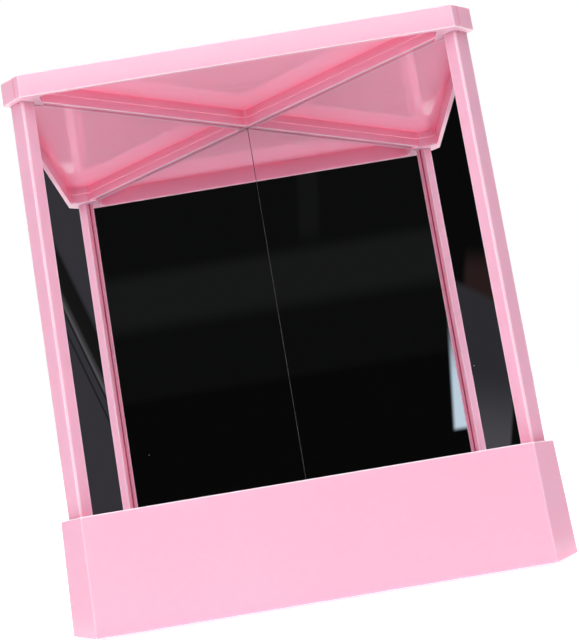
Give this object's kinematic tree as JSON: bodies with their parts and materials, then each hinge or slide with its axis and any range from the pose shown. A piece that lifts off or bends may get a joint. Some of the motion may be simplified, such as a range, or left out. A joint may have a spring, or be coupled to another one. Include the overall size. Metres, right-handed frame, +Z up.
{
  "type": "non-reversing mirror",
  "caption": "Free-standing desktop mirror with panes meeting at a right angle, held between a flat cap and a wedge base that leans it back, so that the image isn't reversed.",
  "frame": {"origin": "on the surface the mirror stands on, under the middle of the whole object's box", "axes": "+Z up, +Y to the back, so the two panes open towards -Y and the column leans back towards +Y; +X to the right as seen from the front"},
  "size_m": [0.2164, 0.172, 0.2418],
  "materials": {
    "pink_plastic": "glossy injection-moulded ABS, pale pink",
    "mirror_glass": "silvered float glass with ground edges",
    "foam_tape": "white closed-cell foam mounting tape",
    "foot_rubber": "translucent grey silicone rubber, matte",
    "screw_steel": "zinc-plated steel"
  },
  "bodies": {
    "root": {"top_cap": "pink_plastic", "base_shell": "pink_plastic", "base_cover": "pink_plastic", "right_panel": "pink_plastic", "left_panel": "pink_plastic", "rear_spine": "pink_plastic", "right_pane": "mirror_glass", "left_pane": "mirror_glass", "right_tape": "foam_tape", "left_tape": "foam_tape", "front_right_foot": "foot_rubber", "front_left_foot": "foot_rubber", "rear_right_foot": "foot_rubber", "rear_left_foot": "foot_rubber", "cover_screws": "screw_steel"}
  },
  "joints": []
}
